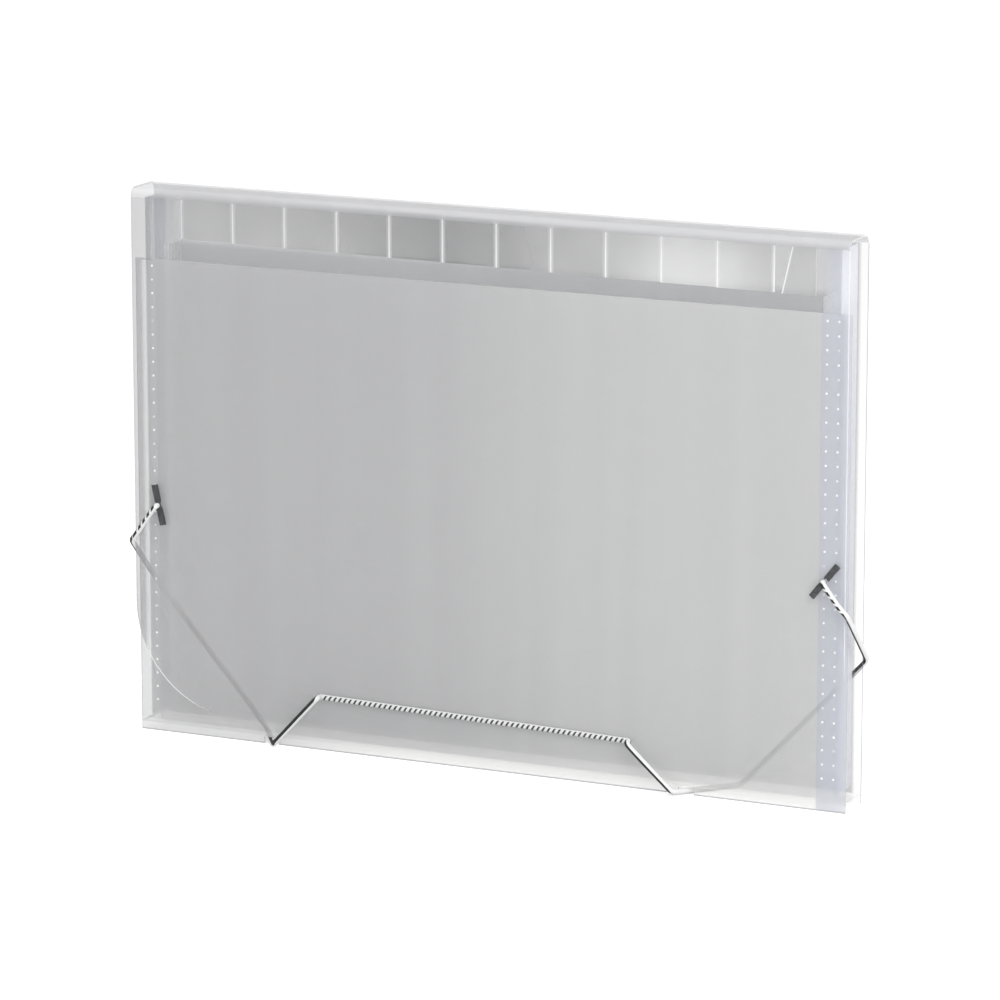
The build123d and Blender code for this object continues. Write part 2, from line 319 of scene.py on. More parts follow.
def backSheet():
    look = sheets["back"]
    material, tree = newMaterial("milky polypropylene back")
    place, _, flow, sideways = sheetBase(tree)
    # clear right of the pleats and at the foot, where no layers lie behind one another
    margin = addNode(tree, "ShaderNodeMapRange", {"interpolation_type": "SMOOTHSTEP"},
                     {"Value": place.outputs["X"], "From Min": look["marginMm"][0] * mm,
                      "From Max": look["marginMm"][1] * mm, "To Min": 1.0, "To Max": look["marginHaze"]})
    foot = addNode(tree, "ShaderNodeMapRange", {"interpolation_type": "SMOOTHSTEP"},
                   {"Value": place.outputs["Z"], "From Min": look["footMm"][0] * mm,
                    "From Max": look["footMm"][1] * mm, "To Min": look["footHaze"], "To Max": 1.0})
    haze = addNode(tree, "ShaderNodeMath", {"operation": "MULTIPLY"}, {0: flow, 1: look["haze"]})
    haze = addNode(tree, "ShaderNodeMath", {"operation": "MULTIPLY"}, {0: haze.outputs[0], 1: foot.outputs[0]})
    haze = addNode(tree, "ShaderNodeMath", {"operation": "MULTIPLY"}, {0: haze.outputs[0], 1: margin.outputs[0]})
    tint = addNode(tree, "ShaderNodeMix", {"data_type": "RGBA"},
                   {0: sideways, 6: hexLinear(look["colour"]), 7: hexLinear(look["edge"])})
    finishSheet(tree, look, haze.outputs[0], sideways, tint.outputs[2])
    return material


def topSheet():
    look = sheets["top"]
    material, tree = newMaterial("folded polypropylene top")
    _, normal, flow, sideways = sheetBase(tree)
    # painted highlight along the fold: whiter and hazier, most where the bend is half way round; the cut edges are
    # whitish too
    forward = addNode(tree, "ShaderNodeMath", {"operation": "ABSOLUTE"}, {0: normal.outputs["Y"]})
    bend = addNode(tree, "ShaderNodeMath", {"operation": "MULTIPLY"},
                   {0: forward.outputs[0], 1: normal.outputs["Z"]})
    bend = addNode(tree, "ShaderNodeMath", {"operation": "MULTIPLY", "use_clamp": True},
                   {0: bend.outputs[0], 1: look["bend"]})
    haze = addNode(tree, "ShaderNodeMath", {"operation": "MULTIPLY"}, {0: flow, 1: look["haze"]})
    haze = addNode(tree, "ShaderNodeMath", {"operation": "MULTIPLY_ADD"},
                   {0: bend.outputs[0], 1: look["foldHighlightHaze"], 2: haze.outputs[0]})
    foldHighlightAndCutEdge = addNode(tree, "ShaderNodeMath", {"operation": "MAXIMUM"}, {0: bend.outputs[0], 1: sideways})
    tint = addNode(tree, "ShaderNodeMix", {"data_type": "RGBA"},
                   {0: foldHighlightAndCutEdge.outputs[0], 6: hexLinear(look["colour"]), 7: hexLinear(look["edge"])})
    finishSheet(tree, look, haze.outputs[0], sideways, tint.outputs[2])
    return material


def bottomSheet():
    look = sheets["bottom"]
    material, tree = newMaterial("polypropylene bottom strip")
    place, _, flow, sideways = sheetBase(tree)
    # light from the right runs along the strip and dies out towards its left end
    glow = addNode(tree, "ShaderNodeMapRange", {"interpolation_type": "SMOOTHSTEP"},
                   {"Value": place.outputs["X"], "From Min": look["glowMm"][0] * mm,
                    "From Max": look["glowMm"][1] * mm})
    haze = addNode(tree, "ShaderNodeMath", {"operation": "MULTIPLY"}, {0: flow, 1: look["haze"]})
    tint = addNode(tree, "ShaderNodeMix", {"data_type": "RGBA"},
                   {0: glow.outputs[0], 6: hexLinear(look["shaded"]), 7: hexLinear(look["colour"])})
    finishSheet(tree, look, haze.outputs[0], sideways, tint.outputs[2])
    return material


dress(["cover_flap"], flapSheet())
dress(["front_panel"], frontSheet())
dress(["back_panel"], backSheet())
dress(["top_gusset"], topSheet())
dress(["bottom_gusset"], bottomSheet())
print("case sheets dressed")


# Dividers: thin matt polypropylene, nearly clear in the stack, with tabs whose cut edges shine

dividers = {
    "colour": "#8c8d91",
    "haze": 0.05,
    "tabHaze": 0.5,
    "tabGrey": 0.46,        # brightness of a plain tab
    "cloudMm": 30.0,        # size of its slow changes
    "cloud": 0.3,           # and their strength
    "darkAtMm": -25.0,      # the room's darker side mirrors in the tabs about here
    "darkWideMm": 60.0,
    "dark": -0.4,
    "brightAtMm": 92.0,     # and its window side here
    "brightWideMm": 40.0,
    "bright": 0.42,
    "hillPower": -2.5,      # how steeply these two fall off
    "lineMm": 0.45,         # bright line along a tab's cut edge
    "glowMm": 2.4,          # how far its light spreads into the sheet
    "lastGlowMm": 1.2,
    "glow": 0.7,
    "edge": "#ffffff",
    "edgeHaze": 0.9,
    "levelEdge": 0.25,      # light from the cut edges that lie level
    "uprightEdge": 0.9,     # and from those that stand
    "roughness": 0.42,
    "ior": 1.49,
    "tabTopMm": 20.0,       # height of a tab
    "firstTabInMm": 0.5,
    "tabWideMm": 25.58,
    "lastTabFromMm": 133.5,
    "lastTabSlantMm": 4.6,
}


def softHill(tree, x, centreMm, widthMm, height):
    # a smooth rise and fall across the file, for the broad reflections in the tabs
    away = addNode(tree, "ShaderNodeMath", {"operation": "MULTIPLY_ADD"},
                   {0: x, 1: 1 / (widthMm * mm), 2: -centreMm / widthMm})
    square = addNode(tree, "ShaderNodeMath", {"operation": "POWER"}, {0: away.outputs[0], 1: 2.0})
    under = addNode(tree, "ShaderNodeMath", {"operation": "ADD"}, {0: square.outputs[0], 1: 1.0})
    hill = addNode(tree, "ShaderNodeMath", {"operation": "POWER"}, {0: under.outputs[0], 1: dividers["hillPower"]})
    return addNode(tree, "ShaderNodeMath", {"operation": "MULTIPLY"}, {0: hill.outputs[0], 1: height}).outputs[0]


def distanceFromTabSide(tree, x, z, isLast, bodyTop):
    look = dividers
    if isLast:
        # only its left side, which slants, catches the light
        lean = look["lastTabSlantMm"] / look["tabTopMm"]
        slanted = addNode(tree, "ShaderNodeMath", {"operation": "MULTIPLY_ADD"},
                          {0: z, 1: -lean, 2: bodyTop * lean - look["lastTabFromMm"] * mm})
        fromLeft = addNode(tree, "ShaderNodeMath", {"operation": "ADD"}, {0: x, 1: slanted.outputs[0]})
        return addNode(tree, "ShaderNodeMath", {"operation": "ABSOLUTE"}, {0: fromLeft.outputs[0]}).outputs[0]
    # all other tabs stand side by side, one width apart
    wide = look["tabWideMm"] * mm
    start = firstDivider[0][0] + look["firstTabInMm"] * mm
    steps = addNode(tree, "ShaderNodeMath", {"operation": "MULTIPLY_ADD"}, {0: x, 1: 1 / wide, 2: -start / wide})
    share = addNode(tree, "ShaderNodeMath", {"operation": "FRACT"}, {0: steps.outputs[0]})
    rest = addNode(tree, "ShaderNodeMath", {"operation": "SUBTRACT"}, {0: 1.0, 1: share.outputs[0]})
    near = addNode(tree, "ShaderNodeMath", {"operation": "MINIMUM"}, {0: share.outputs[0], 1: rest.outputs[0]})
    return addNode(tree, "ShaderNodeMath", {"operation": "MULTIPLY"}, {0: near.outputs[0], 1: wide}).outputs[0]


def dividerSheet(name, isLast):
    look = dividers
    material, tree = newMaterial(name)
    bodyTop = firstDivider[1][2] - look["tabTopMm"] * mm
    coords = addNode(tree, "ShaderNodeTexCoord")
    place = addNode(tree, "ShaderNodeSeparateXYZ", {}, {0: coords.outputs["Object"]})
    normal = addNode(tree, "ShaderNodeSeparateXYZ", {}, {0: coords.outputs["Normal"]})
    x, z = place.outputs["X"], place.outputs["Z"]
    onTab = addNode(tree, "ShaderNodeMath", {"operation": "GREATER_THAN"}, {0: z, 1: bodyTop}).outputs[0]
    # light leaves a tab at its cut sides, as a bright line with a soft glow beside it
    near = distanceFromTabSide(tree, x, z, isLast, bodyTop)
    line = addNode(tree, "ShaderNodeMath", {"operation": "LESS_THAN"}, {0: near, 1: look["lineMm"] * mm})
    line = addNode(tree, "ShaderNodeMath", {"operation": "MULTIPLY"}, {0: line.outputs[0], 1: onTab})
    glow = addNode(tree, "ShaderNodeMapRange", {"interpolation_type": "SMOOTHERSTEP"},
                   {"Value": near, "From Min": 0.0, "To Min": look["glow"], "To Max": 0.0,
                    "From Max": look["lastGlowMm" if isLast else "glowMm"] * mm})
    glow = addNode(tree, "ShaderNodeMath", {"operation": "MULTIPLY"}, {0: glow.outputs[0], 1: onTab})
    across = addNode(tree, "ShaderNodeMath", {"operation": "ABSOLUTE"}, {0: normal.outputs["Y"]})
    cut = addNode(tree, "ShaderNodeMath", {"operation": "LESS_THAN"}, {0: across.outputs[0], 1: cutBelow})
    sideways = addNode(tree, "ShaderNodeMath", {"operation": "ABSOLUTE"}, {0: normal.outputs["X"]})
    cutShown = addNode(tree, "ShaderNodeMath", {"operation": "MULTIPLY_ADD"},
                       {0: sideways.outputs[0], 1: look["uprightEdge"] - look["levelEdge"], 2: look["levelEdge"]})
    cutShown = addNode(tree, "ShaderNodeMath", {"operation": "MULTIPLY"},
                       {0: cutShown.outputs[0], 1: cut.outputs[0]})
    bright = addNode(tree, "ShaderNodeMath", {"operation": "MAXIMUM"}, {0: line.outputs[0], 1: cutShown.outputs[0]})
    bright = addNode(tree, "ShaderNodeMath", {"operation": "MAXIMUM"}, {0: bright.outputs[0], 1: glow.outputs[0]})
    # tabs change slowly in brightness, with the room mirrored in them
    cloud = addNode(tree, "ShaderNodeTexNoise", {},
                    {"Vector": coords.outputs["Object"], "Scale": 1 / (look["cloudMm"] * mm), "Detail": 1.0})
    drift = addNode(tree, "ShaderNodeMath", {"operation": "MULTIPLY_ADD"},
                    {0: cloud.outputs["Fac"], 1: look["cloud"], 2: look["tabGrey"] - look["cloud"] / 2})
    grey = addNode(tree, "ShaderNodeMath", {"operation": "ADD"},
                   {0: drift.outputs[0],
                    1: softHill(tree, x, look["darkAtMm"], look["darkWideMm"], look["dark"])})
    grey = addNode(tree, "ShaderNodeMath", {"operation": "ADD", "use_clamp": True},
                   {0: grey.outputs[0],
                    1: softHill(tree, x, look["brightAtMm"], look["brightWideMm"], look["bright"])})
    tabColour = addNode(tree, "ShaderNodeCombineColor", {},
                        {0: grey.outputs[0], 1: grey.outputs[0], 2: grey.outputs[0]})
    body = addNode(tree, "ShaderNodeMix", {"data_type": "RGBA"},
                   {0: onTab, 6: hexLinear(look["colour"]), 7: tabColour.outputs[0]})
    tint = addNode(tree, "ShaderNodeMix", {"data_type": "RGBA"},
                   {0: bright.outputs[0], 6: body.outputs[2], 7: hexLinear(look["edge"])})
    haze = addNode(tree, "ShaderNodeMath", {"operation": "MULTIPLY_ADD"},
                   {0: onTab, 1: look["tabHaze"] - look["haze"], 2: look["haze"]})
    brightAlpha = addNode(tree, "ShaderNodeMath", {"operation": "MULTIPLY"},
                          {0: bright.outputs[0], 1: look["edgeHaze"]})
    face = addNode(tree, "ShaderNodeMath", {"operation": "MAXIMUM"},
                   {0: haze.outputs[0], 1: brightAlpha.outputs[0]})
    cutAlpha = addNode(tree, "ShaderNodeMath", {"operation": "MULTIPLY"},
                       {0: cutShown.outputs[0], 1: look["edgeHaze"]})
    alpha = addNode(tree, "ShaderNodeMath", {"operation": "MAXIMUM"},
                    {0: oneSided(tree, face.outputs[0]), 1: cutAlpha.outputs[0]})
    finishMaterial(tree, {"Base Color": tint.outputs[2], "Roughness": look["roughness"], "IOR": look["ior"],
                          "Alpha": alpha.outputs[0]})
    return material


lastNumber = 12
dress(["divider_%02d" % number for number in range(1, lastNumber)],
      dividerSheet("frosted polypropylene divider", False), True)
dress(["divider_%02d" % lastNumber], dividerSheet("frosted polypropylene last divider", True), True)

weld = {
    "colour": "#ffffff",
    "roughness": 0.35,
    "changeMm": 5.263,      # distance over which well pressed spots turn to half formed ones
    "contrast": 2.0,
    "least": -0.2,
}


def weldSpot():
    # pressed by a round hot pin: a small white pit, some of them only half formed
    material, tree = newMaterial("pressed weld spot")
    coords = addNode(tree, "ShaderNodeTexCoord")
    cloud = addNode(tree, "ShaderNodeTexNoise", {},
                    {"Vector": coords.outputs["Object"], "Scale": 1 / (weld["changeMm"] * mm), "Detail": 1.0})
    alpha = addNode(tree, "ShaderNodeMath", {"operation": "MULTIPLY_ADD", "use_clamp": True},
                    {0: cloud.outputs["Fac"], 1: weld["contrast"], 2: weld["least"]})
    finishMaterial(tree, {"Base Color": hexLinear(weld["colour"]), "Roughness": weld["roughness"],
                          "Alpha": alpha.outputs[0]})
    return material


dress(["front_spot_welds", "back_spot_welds"], weldSpot(), True)
print("dividers and welds dressed")


# Pleated side films: thin clear polypropylene, milkier where it is creased

pleats = {
    "legs": 26,             # two for each pocket
    "filmMm": 0.3,
    "foldSteps": 6,
    # the two films are lit and shaded copies of one film: the right's colours are painted light, the left's painted
    # shade
    "left": {"leg": "#c4c5ca", "fold": "#b0b2b7"},
    "right": {"leg": "#cbcfdb", "fold": "#f0f2f8"},     # faces the light, and looks bluish in many layers
    "haze": 0.03,
    "foldHaze": 0.4,
    "foldFromMm": (158.8, 160.6),
    "streakMm": 18.0,
    "streak": 0.01,
    "roughness": 0.3,
    "ior": 1.49,
}


def pleatFilm(name, colours):
    look = pleats
    material, tree = newMaterial(name)
    coords = addNode(tree, "ShaderNodeTexCoord")
    place = addNode(tree, "ShaderNodeSeparateXYZ", {}, {0: coords.outputs["Object"]})
    out = addNode(tree, "ShaderNodeMath", {"operation": "ABSOLUTE"}, {0: place.outputs["X"]})
    fold = addNode(tree, "ShaderNodeMapRange", {"interpolation_type": "SMOOTHSTEP"},
                   {"Value": out.outputs[0], "From Min": look["foldFromMm"][0] * mm,
                    "From Max": look["foldFromMm"][1] * mm})
    streak = addNode(tree, "ShaderNodeTexNoise", {},
                     {"Vector": coords.outputs["Object"], "Scale": 1 / (look["streakMm"] * mm), "Detail": 1.0})
    haze = addNode(tree, "ShaderNodeMath", {"operation": "MULTIPLY_ADD"},
                   {0: fold.outputs[0], 1: look["foldHaze"] - look["haze"], 2: look["haze"]})
    haze = addNode(tree, "ShaderNodeMath", {"operation": "MULTIPLY_ADD"},
                   {0: streak.outputs["Fac"], 1: look["streak"], 2: haze.outputs[0]})
    tint = addNode(tree, "ShaderNodeMix", {"data_type": "RGBA"},
                   {0: fold.outputs[0], 6: hexLinear(colours["leg"]), 7: hexLinear(colours["fold"])})
    finishMaterial(tree, {"Base Color": tint.outputs[2], "Roughness": look["roughness"], "IOR": look["ior"],
                          "Alpha": haze.outputs[0]})
    return material


def rightPleats():
    low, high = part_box("right_concertina")
    film = pleats["filmMm"] * mm
    pitch = (high[1] - low[1] - film) / (pleats["legs"] - 1)
    bend = pitch / 2
    inner = low[0] + film / 2 + bend
    outer = high[0] - film / 2 - bend
    first = high[1] - film / 2
    deselectAll()
    # the first leg, standing at the back
    bpy.ops.mesh.primitive_plane_add(size=1, location=((inner + outer) / 2, first, (low[2] + high[2]) / 2),
                                     rotation=(math.pi / 2, 0, 0))
    piece = bpy.context.object
    piece.name = "right_pleats"
    piece.scale = (outer - inner, high[2] - low[2], 1)
    bpy.ops.object.transform_apply(location=True, rotation=True, scale=True)
    bpy.ops.object.mode_set(mode="EDIT")
    selectPlaces(piece, lambda co: co.x > (inner + outer) / 2)
    # round the outer fold, back along the second leg, and round the inner fold
    steps = pleats["foldSteps"]
    bpy.ops.mesh.spin(steps=steps, angle=-math.pi, center=(outer, first - bend, 0), axis=(0, 0, 1))
    bpy.ops.mesh.extrude_region_move(TRANSFORM_OT_translate={"value": (inner - outer, 0, 0)})
    bpy.ops.mesh.spin(steps=steps, angle=math.pi, center=(inner, first - 3 * bend, 0), axis=(0, 0, 1))
    bpy.ops.object.mode_set(mode="OBJECT")
    repeat = piece.modifiers.new("pockets", "ARRAY")
    repeat.count = pleats["legs"] // 2
    repeat.use_relative_offset = False
    repeat.use_constant_offset = True
    repeat.constant_offset_displace = (0, -2 * pitch, 0)
    repeat.use_merge_vertices = True
    repeat.merge_threshold = 0.02 * mm
    bpy.ops.object.modifier_apply(modifier=repeat.name)
    # the last leg ends on the front panel, so the fold after it goes
    bpy.ops.object.mode_set(mode="EDIT")
    lastLeg = low[1] + film / 2
    selectPlaces(piece, lambda co: co.y < lastLeg - bend * 0.1)
    bpy.ops.mesh.delete(type="VERT")
    bpy.ops.mesh.select_all(action="SELECT")
    bpy.ops.mesh.normals_make_consistent(inside=False)
    bpy.ops.object.mode_set(mode="OBJECT")
    return piece


def leftPleats(rightPiece):
    deselectAll()
    rightPiece.select_set(True)
    bpy.context.view_layer.objects.active = rightPiece
    bpy.ops.object.duplicate()
    piece = bpy.context.object
    piece.name = "left_pleats"
    bpy.ops.object.mode_set(mode="EDIT")
    bpy.ops.mesh.select_all(action="SELECT")
    bpy.ops.transform.resize(value=(-1, 1, 1), center_override=(0, 0, 0))
    bpy.ops.mesh.normals_make_consistent(inside=False)
    bpy.ops.object.mode_set(mode="OBJECT")
    return piece


rightPiece = rightPleats()
leftPiece = leftPleats(rightPiece)
for piece, nodeName, colours in ((rightPiece, "right_concertina", pleats["right"]),
                                (leftPiece, "left_concertina", pleats["left"])):
    piece.data.materials.clear()
    piece.data.materials.append(pleatFilm("clear pleated film, " + nodeName.split("_")[0], colours))
    letLightPass(piece, True)
    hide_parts(nodeName)
    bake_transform(piece)
print("pleats made")


# Elastic: rubber cord covered in pale yarn, whose dark braid ticks are drawn only on the side away from the light,
# as painted shade

cord = {
    "diameterMm": 2.3,
    "around": 16,
    "offMm": 1.4,          # from the cord's middle to the sheet that it lies on
    "behindFlapMm": 1.25,
    "pale": "#f2f2f2",
    # dark braid ticks, shown only on the side away from the light: painted shade
    "dark": "#0c0c0c",
    "slant": 1.6,          # how far a tick runs along the cord as it goes round, in pitches
    "run": {"tickMm": 2.4, "tickShare": 0.42, "shadeShare": 0.62},
    "loop": {"tickMm": 3.6, "tickShare": 0.62, "shadeShare": 0.44, "closeMm": (17.0, 21.0)},
    "closedShare": 1.1,    # more than the whole pitch, so that no gap is left
    "yarnMm": 0.6,         # rib of the cover, drawn about twice as coarse as it is
    "ribDepthMm": 0.2,
    "ribStrength": 0.35,
    "ringMm": 0.35,        # spacing of the mesh's rings
    "lobes": 0.05,         # how far the cover's two bulges stand out
    "roughness": 0.6,
}
left, right = flapBox[0][0] / mm, flapBox[1][0] / mm
frontY = flapBox[0][1] / mm - cord["offMm"]
backY = backBox[1][1] / mm + cord["offMm"]
inHoleY = (flapBox[0][1] + flapBox[1][1]) / 2 / mm
behindY = flapBox[1][1] / mm + cord["behindFlapMm"]


def coveredElastic(name, look):
    # U goes round the cord, with the side of painted shade at its middle, and V along it in millimetres
    material, tree = newMaterial(name)
    coords = addNode(tree, "ShaderNodeTexCoord")
    place = addNode(tree, "ShaderNodeSeparateXYZ", {}, {0: coords.outputs["UV"]})
    slant = addNode(tree, "ShaderNodeMath", {"operation": "MULTIPLY"}, {0: place.outputs["X"], 1: cord["slant"]})
    along = addNode(tree, "ShaderNodeMath", {"operation": "MULTIPLY_ADD"},
                    {0: place.outputs["Y"], 1: 1 / look["tickMm"], 2: slant.outputs[0]})
    lay = addNode(tree, "ShaderNodeMath", {"operation": "FRACT"}, {0: along.outputs[0]})
    share = look["tickShare"]
    if "closeMm" in look:
        # further from the bar the cord is stretched most, and the ticks close up to a solid line of painted shade
        close = addNode(tree, "ShaderNodeMapRange", {},
                        {"Value": place.outputs["Y"], "From Min": look["closeMm"][0],
                         "From Max": look["closeMm"][1], "To Min": look["tickShare"],
                         "To Max": cord["closedShare"]})
        share = close.outputs[0]
    tick = addNode(tree, "ShaderNodeMath", {"operation": "LESS_THAN"}, {0: lay.outputs[0], 1: share})
    # the dark ticks show only on the side away from the light: painted shade
    off = addNode(tree, "ShaderNodeMath", {"operation": "SUBTRACT"}, {0: place.outputs["X"], 1: 0.5})
    off = addNode(tree, "ShaderNodeMath", {"operation": "ABSOLUTE"}, {0: off.outputs[0]})
    side = addNode(tree, "ShaderNodeMath", {"operation": "LESS_THAN"},
                   {0: off.outputs[0], 1: look["shadeShare"] / 2})
    dark = addNode(tree, "ShaderNodeMath", {"operation": "MULTIPLY"}, {0: tick.outputs[0], 1: side.outputs[0]})
    rib = addNode(tree, "ShaderNodeMath", {"operation": "MULTIPLY"},
                  {0: place.outputs["Y"], 1: 2 * math.pi / cord["yarnMm"]})
    rib = addNode(tree, "ShaderNodeMath", {"operation": "SINE"}, {0: rib.outputs[0]})
    relief = addNode(tree, "ShaderNodeBump", {}, {"Height": rib.outputs[0], "Strength": cord["ribStrength"],
                                                 "Distance": cord["ribDepthMm"] * mm})
    tint = addNode(tree, "ShaderNodeMix", {"data_type": "RGBA"},
                   {0: dark.outputs[0], 6: hexLinear(cord["pale"]), 7: hexLinear(cord["dark"])})
    finishMaterial(tree, {"Base Color": tint.outputs[2], "Roughness": cord["roughness"],
                          "Normal": relief.outputs[0]})
    return material


def cordLine(points):
    # the route as a smooth line, read back as points
    curve = bpy.data.curves.new("route", "CURVE")
    curve.dimensions = "3D"
    curve.resolution_u = 10
    spline = curve.splines.new("NURBS")
    spline.points.add(len(points) - 1)
    for place, point in zip(spline.points, points):
        place.co = [value * mm for value in point] + [1]
    spline.order_u = 3
    spline.use_endpoint_u = True
    holder = bpy.data.objects.new("route", curve)
    bpy.context.scene.collection.objects.link(holder)
    mesh = bpy.data.meshes.new_from_object(holder)
    line = [Vector(v.co) for v in mesh.vertices]
    bpy.data.objects.remove(holder)
    bpy.data.meshes.remove(mesh)
    return line


def evenLine(line, step):
    # the same line with points at an even spacing
    spaced = [line[0]]
    ahead = step
    for a, b in zip(line, line[1:]):
        run = (b - a).length
        while ahead < run:
            spaced.append(a.lerp(b, ahead / run))
            ahead += step
        ahead -= run
    spaced.append(line[-1])
    return spaced


def coveredCord(name, nodeName, body, points, material, shadeSide):
    # a tube round the route's line, with its seam opposite the side of painted shade
    line = evenLine(cordLine(points), cord["ringMm"] * mm)
    radius = cord["diameterMm"] / 2 * mm
    around = cord["around"]
    vertices, faces, lengths, travelled = [], [], [], 0.0
    for index, place in enumerate(line):
        before = line[max(index - 1, 0)]
        after = line[min(index + 1, len(line) - 1)]
        if index:
            travelled += (place - before).length
        lengths.append(travelled)
        tangent = (after - before).normalized()
        out = Vector(shadeSide)
        out = (out - tangent * out.dot(tangent)).normalized()
        side = tangent.cross(out)
        for turn in range(around):
            angle = 2 * math.pi * turn / around
            twist = travelled / mm * 2 * math.pi / cord["run"]["tickMm"]
            lay = 1 + cord["lobes"] * math.sin(2 * (angle + twist))
            vertices.append(place - (out * math.cos(angle) + side * math.sin(angle)) * radius * lay)
    for ring in range(len(line) - 1):
        for turn in range(around):
            following = (turn + 1) % around
            faces.append((ring * around + turn, ring * around + following,
                          (ring + 1) * around + following, (ring + 1) * around + turn))
    faces.append(tuple(reversed(range(around))))
    faces.append(tuple((len(line) - 1) * around + turn for turn in range(around)))
    mesh = bpy.data.meshes.new(name)
    mesh.from_pydata([tuple(v) for v in vertices], [], faces)
    uvLayer = mesh.uv_layers.new(name="along")
    for face in mesh.polygons:
        columns = [mesh.loops[i].vertex_index % around for i in face.loop_indices]
        wraps = max(columns) - min(columns) > around / 2
        for i in face.loop_indices:
            vertex = mesh.loops[i].vertex_index
            column = vertex % around
            if wraps and column < around / 2:
                column += around
            uvLayer.data[i].uv = (column / around, lengths[vertex // around] / mm)
        face.use_smooth = True
    mesh.materials.append(material)
    piece = bpy.data.objects.new(name, mesh)
    bpy.context.scene.collection.objects.link(piece)
    deselectAll()
    piece.select_set(True)
    bpy.context.view_layer.objects.active = piece
    bpy.ops.object.mode_set(mode="EDIT")
    bpy.ops.mesh.select_all(action="SELECT")
    bpy.ops.mesh.normals_make_consistent(inside=False)
    bpy.ops.object.mode_set(mode="OBJECT")
    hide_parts(nodeName)
    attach(piece, body)
    return piece


# points come in pairs at each edge, so that the cord turns tightly there and is straight between
leftRoute = [
    (left + 10.8, inHoleY, 101.5), (left + 10.8, frontY + 0.5, 101.5), (left + 9.8, frontY, 100.4),
    (left + 1, frontY - 0.1, 88), (left - 1.3, frontY, 85.6), (left - 1.4, frontY + 3, 82.6),
    (left - 1.4, backY - 3, 64), (left - 1.2, backY, 61), (left + 2, backY, 57), (left + 48, backY, 5),
    (left + 51, backY - 0.4, 1.6), (left + 53, backY - 3, 1.4), (left + 65, frontY + 4, 1.4),
    (left + 67, frontY + 0.4, 1.6), (left + 69, frontY, 3.4), (left + 86.6, frontY, 22.4),
    (left + 88, frontY + 0.4, 23.8), (left + 88.2, inHoleY, 24),
]
rightRoute = [
    (right - 9.6, inHoleY, 98), (right - 9.6, frontY + 0.5, 98), (right - 8.8, frontY, 97),
    (right - 1, frontY - 0.1, 87.2), (right + 1.3, frontY, 85.4), (right + 1.4, frontY + 3, 82.6),
    (right + 1.4, backY - 3, 64), (right + 1.2, backY, 61), (right - 2, backY, 57.5), (right - 51, backY, 5.4),
    (right - 54, backY - 0.4, 1.7), (right - 57, backY - 3, 1.4), (right - 73, frontY + 4, 1.4),
    (right - 75.6, frontY + 0.4, 1.6), (right - 77.6, frontY, 3.4), (right - 95.2, frontY, 19),
    (right - 96.6, frontY + 0.4, 20.5), (right - 96.8, inHoleY, 20.7),
]
centreRoute = [
    (left + 88.2, inHoleY, 24), (left + 88.2, behindY - 0.4, 24), (left + 88.8, behindY, 24),
    (left + 91, behindY, 24), (right - 99.6, behindY, 20.7), (right - 97.4, behindY, 20.7),
    (right - 96.8, behindY - 0.4, 20.7), (right - 96.8, inHoleY, 20.7),
]
leftward = (-1, -0.35, -0.1)      # the way that the painted shade faces on the loops
downward = (0.1, -0.6, -1)        # and on the centre run
loopYarn = coveredElastic("stretched covered elastic", cord["loop"])
runYarn = coveredElastic("covered elastic", cord["run"])
coveredCord("left_elastic", "elastic_left_loop", "left_loop", leftRoute, loopYarn, leftward)
coveredCord("right_elastic", "elastic_right_loop", "right_loop", rightRoute, loopYarn, leftward)
coveredCord("centre_elastic", "elastic_centre_run", "flap", centreRoute, runYarn, downward)
print("elastic made")


# End bars: flat strips of blackened steel, crimped round the cord's ends

bar = {
    "lengthMm": 18.0,
    "widthMm": 2.7,
    "thickMm": 1.3,
    "crimpMm": 3.4,        # length of the pinched middle
    "pinch": (0.72, 0.8),  # its width and thickness, as shares of the strip's
    "crimpInner": 0.55,    # share of the middle that is pinched fully
    "bevelMm": 0.18,
    "leanLeft": 12.6,      # degrees from upright, to the left at the top
    "leanRight": -39.0,
    "colour": "#4a4a4e",
    "rubbedIn": "#242427",
    "grainMm": 0.7143,
    "grainRange": (0.35, 0.65),
    "metallic": 0.6,
    "roughness": (0.3, 0.55),
    "smoothDegrees": 40,
}


def blackenedSteel():
    # thin black oxide: dark and a little shiny, with a fine rubbed grain
    material, tree = newMaterial("blackened steel strip")
    coords = addNode(tree, "ShaderNodeTexCoord")
    grain = addNode(tree, "ShaderNodeTexNoise", {},
                    {"Vector": coords.outputs["Object"], "Scale": 1 / (bar["grainMm"] * mm), "Detail": 2.0})
    shade = addNode(tree, "ShaderNodeMapRange", {},
                    {"Value": grain.outputs["Fac"], "From Min": bar["grainRange"][0],
                     "From Max": bar["grainRange"][1]})
    tint = addNode(tree, "ShaderNodeMix", {"data_type": "RGBA"},
                   {0: shade.outputs[0], 6: hexLinear(bar["rubbedIn"]), 7: hexLinear(bar["colour"])})
    smoothest, roughest = bar["roughness"]
    rough = addNode(tree, "ShaderNodeMath", {"operation": "MULTIPLY_ADD"},
                    {0: grain.outputs["Fac"], 1: roughest - smoothest, 2: smoothest})
    finishMaterial(tree, {"Base Color": tint.outputs[2], "Metallic": bar["metallic"],
                          "Roughness": rough.outputs[0]})
    return material


